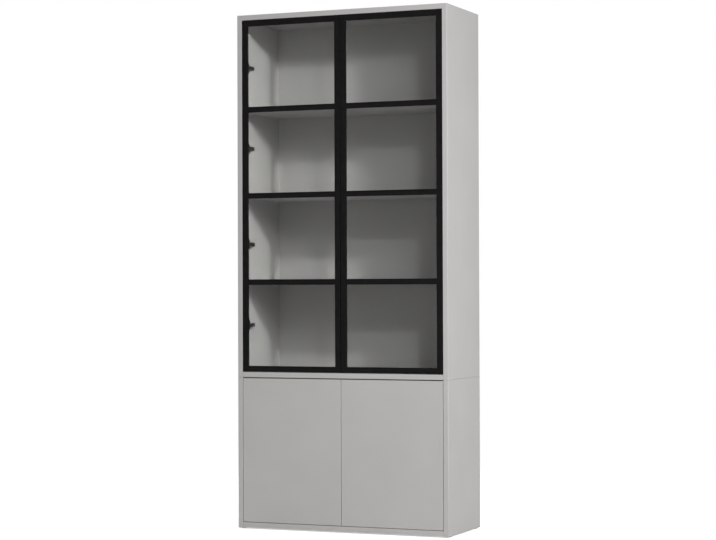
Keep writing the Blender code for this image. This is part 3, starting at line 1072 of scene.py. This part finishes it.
    def door_half(self, kind: DoorKind, inward: float, door: float) -> tuple[BMesh, float]:
        """Make the half on a door: a narrow plate or a flange with a cup, then the knuckle and the screws.

        Args:
            kind: Kind of the door.
            inward: Middle of the half, from the side.
            door: Back of the door, from the cabinet's front.

        Returns:
            The door half in the hinge's own drawing, and the back of its knuckle.
        """
        plate = self.wing if kind is DoorKind.GLASS else self.flange
        front = door + SEAT
        start, back = front + plate.thickness / 2, front + plate.thickness
        end = back + self.knuckle
        shape = plate.shape(inward, front)
        if kind is DoorKind.LOWER:
            before, length = (inward, front - CUT_PAST, 0), plate.thickness + 2 * CUT_PAST
            shape = carve(shape, rod(before, BACK, length, self.cup_inner, self.cup_facets))
            add_copies(shape, self.cup_shape(start - door), [aimed(BACK, (inward, door, 0))])
            start = door - self.cup_depth + self.cup_wall / 2
        add_copies(shape, self.knuckle_shape(inward, start, end))
        seats = [aimed(BACK, (inward, back, up)) for up in pair(plate.pitch)]
        add_copies(shape, self.plate_screw.shape(), seats)
        return shape, end

    def cup_shape(self, rim: float) -> BMesh:
        """Turn the pressed cup.

        Args:
            rim: Height of its rim.

        Returns:
            The cup, with the door's back at the origin and its mouth upwards.
        """
        outer, inner, slope = self.cup_radius - self.cup_play, self.cup_inner, self.cup_slope
        bed = -self.cup_depth
        floor = bed + self.cup_wall
        return turned(
            [(0, bed), (outer - slope, bed), (outer, bed + slope), (outer, rim), (inner, rim),
             (inner, bed + self.cup_slope_top), (inner - slope, floor), (0, floor)],
            self.cup_facets,
        )

    def links(self, inward: float, knuckle_end: float) -> BMesh:
        """Make the two links, folded away between the knuckle and the nose.

        Args:
            inward: Middle of the knuckle, from the side.
            knuckle_end: Back of the knuckle, from the front.

        Returns:
            The links in the hinge's own drawing.
        """
        shape = bmesh.new()
        for low, high in self.link_spans:
            strip = box_shape(
                (inward + low, knuckle_end - self.link_root, -self.link_half),
                (inward + high, knuckle_end + self.play + self.link_reach, self.link_half),
            )
            soften(strip, edges_along(strip, Axis.Y), self.link_ease)
            along = edges_along(strip, Axis.Y)
            bmesh.ops.subdivide_edges(strip, edges=along, cuts=self.link_steps, use_grid_fill=True)
            add_copies(shape, strip)
        return shape


@dataclass(frozen=True)
class DoorHinges:
    """All the hinges of one door."""

    side: Side
    kind: DoorKind
    node: str  # the door's board or frame
    count: int
    inset: float  # middle of the knuckles, from the door's edge
    kit: HingeKit

    def build(self, bench: Bench) -> None:
        """Set out both halves and the links of each hinge.

        Args:
            bench: Maker of the pieces.
        """
        kit = self.kit
        low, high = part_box(self.node)
        inward = INNER - max(abs(low.x), abs(high.x)) + self.inset
        door_half, end = kit.door_half(self.kind, inward, high.y - FRONT)
        arm = kit.arm(inward, end)
        links = kit.links(inward, end)
        body = f"{self.side.word}_{self.kind.value}_door"
        for number in range(1, self.count + 1):
            name = f"{self.side.word}_{self.kind.value}_hinge_{number}"
            place = kit.place(self.side, middle(f"{name}_arm").z)
            for word, drawing, rides in (("cup", door_half, body), ("arm", arm, "cabinet")):
                half = Ticket(f"{name}_{word}_plated", rides, Slot.HINGE, (f"{name}_{word}",))
                bench.set_out(half, moved(drawing.copy(), place))
            strips = Ticket(f"{name}_links", body, Slot.HINGE)
            bench.set_out_bent(strips, moved(links.copy(), place))
        for drawing in (door_half, arm, links):
            drawing.free()


@dataclass(frozen=True)
class GlassDoor:
    """A glass door: its coated frame with bars, its glass and gasket, and its hinges."""

    side: Side
    kit: HingeKit = HingeKit()
    face: float = 0.025
    bar: float = 0.024
    lip: float = 0.0045  # metal in front of the glass
    rebate: float = 0.008
    panes: int = 4  # with a hinge beside each
    ease: Rounding = Rounding(0.0007, 2)
    pane_ease: Rounding = Rounding(0.0005, 2)

    def frame_shape(self) -> BMesh:
        """Make the frame: stiles, rails and bars in one, rebated behind for the glass.

        Returns:
            The frame.
        """
        low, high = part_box(f"{self.side.word}_glass_door_frame")
        shape = eased_box(low, high, self.ease)
        left, right = low.x + self.face, high.x - self.face
        front, back = low.y - CUT_PAST, high.y + CUT_PAST
        pane = (high.z - low.z - 2 * self.face - (self.panes - 1) * self.bar) / self.panes
        holes = bmesh.new()
        for number in range(self.panes):
            sill = low.z + self.face + number * (pane + self.bar)
            add_copies(holes, box_shape((left, front, sill), (right, back, sill + pane)))
        shape = carve(shape, holes)
        rims = [
            edge for edge in folds(shape) if all(abs(vert.co.y - low.y) < SMALL for vert in edge.verts)
        ]
        soften(shape, rims, self.pane_ease)
        inset = Vector((self.face - self.rebate, self.lip, self.face - self.rebate))
        past = Vector((-inset.x, CUT_PAST, -inset.z))
        return carve(shape, box_shape(low + inset, high + past))

    def build(self, bench: Bench) -> None:
        """Set out the door's pieces.

        Args:
            bench: Maker of the pieces.
        """
        word = self.side.word
        node = f"{word}_glass_door_frame"
        ticket = Ticket(f"{node}_coated", f"{word}_glass_door", Slot.FRAME, (node,))
        bench.set_out(ticket, self.frame_shape())
        bench.dress(Slot.GLASS, [f"{word}_door_glass"])
        bench.dress(Slot.GASKET, [f"{word}_door_gasket"])
        inset = (self.face - self.rebate) / 2
        DoorHinges(self.side, DoorKind.GLASS, node, self.panes, inset, self.kit).build(bench)


@dataclass(frozen=True)
class LowerDoor:
    """A plain lower door: its painted board with bored cup holes, a strike plate, and its hinges."""

    side: Side
    kit: HingeKit = HingeKit()
    strike: StrikePlate = StrikePlate()
    hinges: int = 2
    cup_edge: float = 0.005  # board left outside the cup
    ease: Rounding = Rounding(0.0012, 3)

    def board_shape(self) -> BMesh:
        """Make the door's board with rounded edges and cup bores.

        Returns:
            The board.
        """
        word, kit = self.side.word, self.kit
        low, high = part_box(f"{word}_lower_door")
        shape = eased_box(low, high, self.ease)
        bed = high.y - kit.cup_depth - SEAT
        length, radius = kit.cup_depth + CUT_PAST, kit.cup_radius + SEAT
        bores = bmesh.new()
        for number in range(1, self.hinges + 1):
            cup = middle(f"{word}_lower_hinge_{number}_cup")
            add_copies(bores, rod((cup.x, bed, cup.z), BACK, length, radius, kit.cup_facets))
        return carve(shape, bores)

    def build(self, bench: Bench) -> None:
        """Set out the door's pieces.

        Args:
            bench: Maker of the pieces.
        """
        word = self.side.word
        node = f"{word}_lower_door"
        bench.set_out(Ticket(f"{node}_painted", node, Slot.PANEL, (node,)), self.board_shape())
        plunger = middle(f"{word}_lower_latch_plunger")
        seat = aimed(BACK, (plunger.x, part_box(node)[1].y, plunger.z))
        bench.set_out(Ticket(f"{node}_strike", node, Slot.STEEL), moved(self.strike.shape(), seat))
        inset = self.cup_edge + self.kit.cup_radius
        DoorHinges(self.side, DoorKind.LOWER, node, self.hinges, inset, self.kit).build(bench)


@dataclass(frozen=True)
class PushLatch:
    """A push latch: a moulded body screwed to its board, and the sprung plunger."""

    side: Side
    kind: DoorKind
    stem: float = 0.0035
    stem_ease: float = 0.0005
    tip: float = 0.0042
    tip_length: float = 0.0025
    tip_round: tuple[Range, ...] = ((0.0011, 0.0), (0.0003, 0.0005), (0.0, 0.0012))  # inset and depth
    play: float = 0.0003
    bore_end: float = 0.010  # solid behind the bore
    corner: Rounding = Rounding(0.0014, 4)
    ease: Rounding = Rounding(0.0006, 2)
    facets: int = 28
    screw: Screw = Screw(0.0024, 0.0007)
    screw_insets: Range = (0.008, 0.006)  # behind the body's front, and before its back
    screw_pitch: float = 0.0074
    screw_depth: float = 0.0004  # of the seats

    @property
    def name(self) -> str:
        """Return the start of its nodes' names."""
        return f"{self.side.word}_{self.kind.value}_latch"

    def body_shape(self) -> BMesh:
        """Make the body with its bore and four screws.

        Returns:
            The body.
        """
        low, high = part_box(f"{self.name}_body")
        axis = middle(f"{self.name}_plunger")
        shape = box_shape(low, high)
        soften(shape, edges_along(shape, Axis.Y), self.corner, self.ease)
        start = (axis.x, low.y - CUT_PAST, axis.z)
        length = high.y - self.bore_end - low.y + CUT_PAST
        shape = carve(shape, rod(start, BACK, length, self.stem + self.play, self.facets))
        up = 1 if self.kind is DoorKind.GLASS else -1  # it stands on its board, or hangs under it
        seat = (high.z if up > 0 else low.z) - up * self.screw_depth
        depths = (low.y + self.screw_insets[0], high.y - self.screw_insets[1])
        places = [(axis.x + across, depth, seat) for depth in depths for across in pair(self.screw_pitch)]
        add_copies(shape, self.screw.shape(), [aimed(UP * up, place) for place in places])
        return shape

    def plunger_shape(self) -> BMesh:
        """Make the plunger: a round stem with a wider rounded tip.

        Returns:
            The plunger.
        """
        low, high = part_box(f"{self.name}_plunger")
        axis = middle(f"{self.name}_plunger")
        length, edge, stem, ease = high.y - low.y, self.tip_length, self.stem, self.stem_ease
        nose = [(self.tip - inset, depth) for inset, depth in self.tip_round]
        plunger = turned(
            [(0, 0), *nose, (self.tip, edge), (stem, edge), (stem, length - ease), (stem - ease, length),
             (0, length)],
            self.facets,
        )
        return moved(plunger, aimed(BACK, (axis.x, low.y, axis.z)))

    def build(self, bench: Bench) -> None:
        """Set out the latch's pieces.

        Args:
            bench: Maker of the pieces.
        """
        body, plunger = f"{self.name}_body", f"{self.name}_plunger"
        rides = f"{self.side.word}_{self.kind.value}_plunger"
        bench.set_out(Ticket(f"{body}_moulded", "cabinet", Slot.LATCH, (body,)), self.body_shape())
        bench.set_out(Ticket(f"{plunger}_moulded", rides, Slot.PLUNGER, (plunger,)), self.plunger_shape())


@dataclass(frozen=True)
class WallBracket:
    """A steel angle bracket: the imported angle, and the screws that hold it under the top board."""

    side: Side
    steel: float = 0.002
    pitch: float = 0.022
    screw: Screw = Screw(0.0042, 0.0022)

    def build(self, bench: Bench) -> None:
        """Dress the bracket and set out its screws.

        Args:
            bench: Maker of the pieces.
        """
        name = f"wall_bracket_{self.side.word}"
        centre = middle(name)
        depth = centre.y - self.steel / 2
        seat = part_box(name)[1].z - self.steel - self.screw.height * self.screw.sunk
        places = [(centre.x + across, depth, seat) for across in pair(self.pitch)]
        shape = bmesh.new()
        add_copies(shape, self.screw.shape(), [aimed(-UP, place) for place in places])
        bench.set_out(Ticket(f"{name}_screws", "cabinet", Slot.STEEL), shape)
        bench.dress(Slot.STEEL, [name])


# The studio


@dataclass(frozen=True)
class Softbox:
    """A flat lamp aimed at the cabinet, with or without a grid that narrows its light."""

    name: str
    place: Point
    width: float
    height: float
    watts: float
    aim: Point = (0.0, 0.0, 1.2)
    spread: float = math.radians(180)

    def build(self) -> None:
        """Hang the lamp."""
        data = bpy.data.lights.new(self.name, "AREA")
        data.energy = self.watts
        data.shape = "RECTANGLE"
        data.size = self.width
        data.size_y = self.height
        data.spread = self.spread
        lamp = bpy.data.objects.new(self.name, data)
        lamp.location = self.place
        lamp.rotation_mode = "QUATERNION"
        lamp.rotation_quaternion = (lamp.location - Vector(self.aim)).to_track_quat("Z", "Y")
        lamp.visible_camera = False
        lamp.visible_transmission = False
        bpy.context.collection.objects.link(lamp)


@dataclass(frozen=True)
class Studio:
    """Floor, lamps, surrounding white and camera."""

    lamps: tuple[Softbox, ...] = (
        Softbox(
            "key_softbox", place=(3.68, -2.6, 3.05), width=0.38, height=0.14, watts=57.5,
            aim=(0.0, 0.0, 0.65), spread=math.radians(100),
        ),
        Softbox("front_softbox", place=(3.1, -4.6, 3.45), width=0.30, height=0.16, watts=64.0),
        Softbox("back_softbox", place=(-3.6, 3.8, 3.2), width=1.0, height=0.8, watts=150.0),
    )
    fill: float = 0.39  # strength of the white that lights the object
    paper: PaperFloor = PaperFloor()
    floor_radius: float = 3.4
    floor_drop: float = 0.0002
    floor_facets: int = 96
    eye: Point = (3.34288, -7.95910, 1.02716)
    yaw: float = math.radians(22.79505)  # to the left of straight back
    pitch: float = math.radians(0.52073)
    roll: float = math.radians(-0.19502)
    lens: float = 101.1843  # millimetres, as is the sensor
    sensor: float = 36.0

    def floor(self) -> None:
        """Lay the round paper floor."""
        shape = bmesh.new()
        bmesh.ops.create_circle(shape, cap_ends=True, segments=self.floor_facets, radius=self.floor_radius)
        bmesh.ops.translate(shape, verts=shape.verts, vec=(0, 0, -self.floor_drop))
        floor = placed("studio_floor", shape, self.paper.make())

    def surround(self) -> None:
        """Make the white surround, which fills the shadows at a low level."""
        world = bpy.data.worlds.new("studio_surround")
        sheet = NodeSheet(world)
        strength = sheet.add("MapRange", sheet.seen_straight(), To_Min=self.fill, To_Max=1.0)
        white = sheet.add("Background", Color=(1.0, 1.0, 1.0, 1.0), Strength=strength.outputs["Result"])
        sheet.add("OutputWorld", Surface=white.outputs["Background"])
        bpy.context.scene.world = world

    def camera(self) -> None:
        """Set up the camera at the photograph's angle."""
        level = math.cos(self.pitch)
        forward = Vector((-math.sin(self.yaw) * level, math.cos(self.yaw) * level, math.sin(self.pitch)))
        right = Vector((math.cos(self.yaw), math.sin(self.yaw), 0.0))
        rise = right.cross(forward)
        turn, lean = math.cos(self.roll), math.sin(self.roll)
        across, above = turn * right + lean * rise, turn * rise - lean * right
        facing = Matrix((across, above, -forward)).transposed()
        data = bpy.data.cameras.new("photo_camera")
        data.sensor_width = self.sensor
        data.sensor_fit = "HORIZONTAL"
        data.lens = self.lens
        camera = bpy.data.objects.new("photo_camera", data)
        camera.matrix_world = Matrix.Translation(self.eye) @ facing.to_4x4()
        bpy.context.collection.objects.link(camera)
        bpy.context.scene.camera = camera

    def build(self) -> None:
        """Set up the whole studio."""
        self.floor()
        self.surround()
        for lamp in self.lamps:
            lamp.build()
        self.camera()
        bpy.context.scene.view_settings.view_transform = "Standard"


def main() -> None:
    """Build the cabinet's pieces in order, then the studio."""
    logging.basicConfig(level=logging.INFO, format="%(message)s")
    bench = Bench()
    Carcass(Tier.LOWER, ("lower_shelf",)).build(bench)
    Carcass(Tier.UPPER, ("display_shelf_1", "display_shelf_2", "display_shelf_3")).build(bench)
    bench.dress(Slot.GLIDE, [f"glide_{end}_{side.word}" for end in ("front", "rear") for side in Side])
    for side in Side:
        LowerDoor(side).build(bench)
        GlassDoor(side).build(bench)
        for kind in DoorKind:
            PushLatch(side, kind).build(bench)
        WallBracket(side).build(bench)
    Studio().build()


if __name__ == "__main__":
    main()
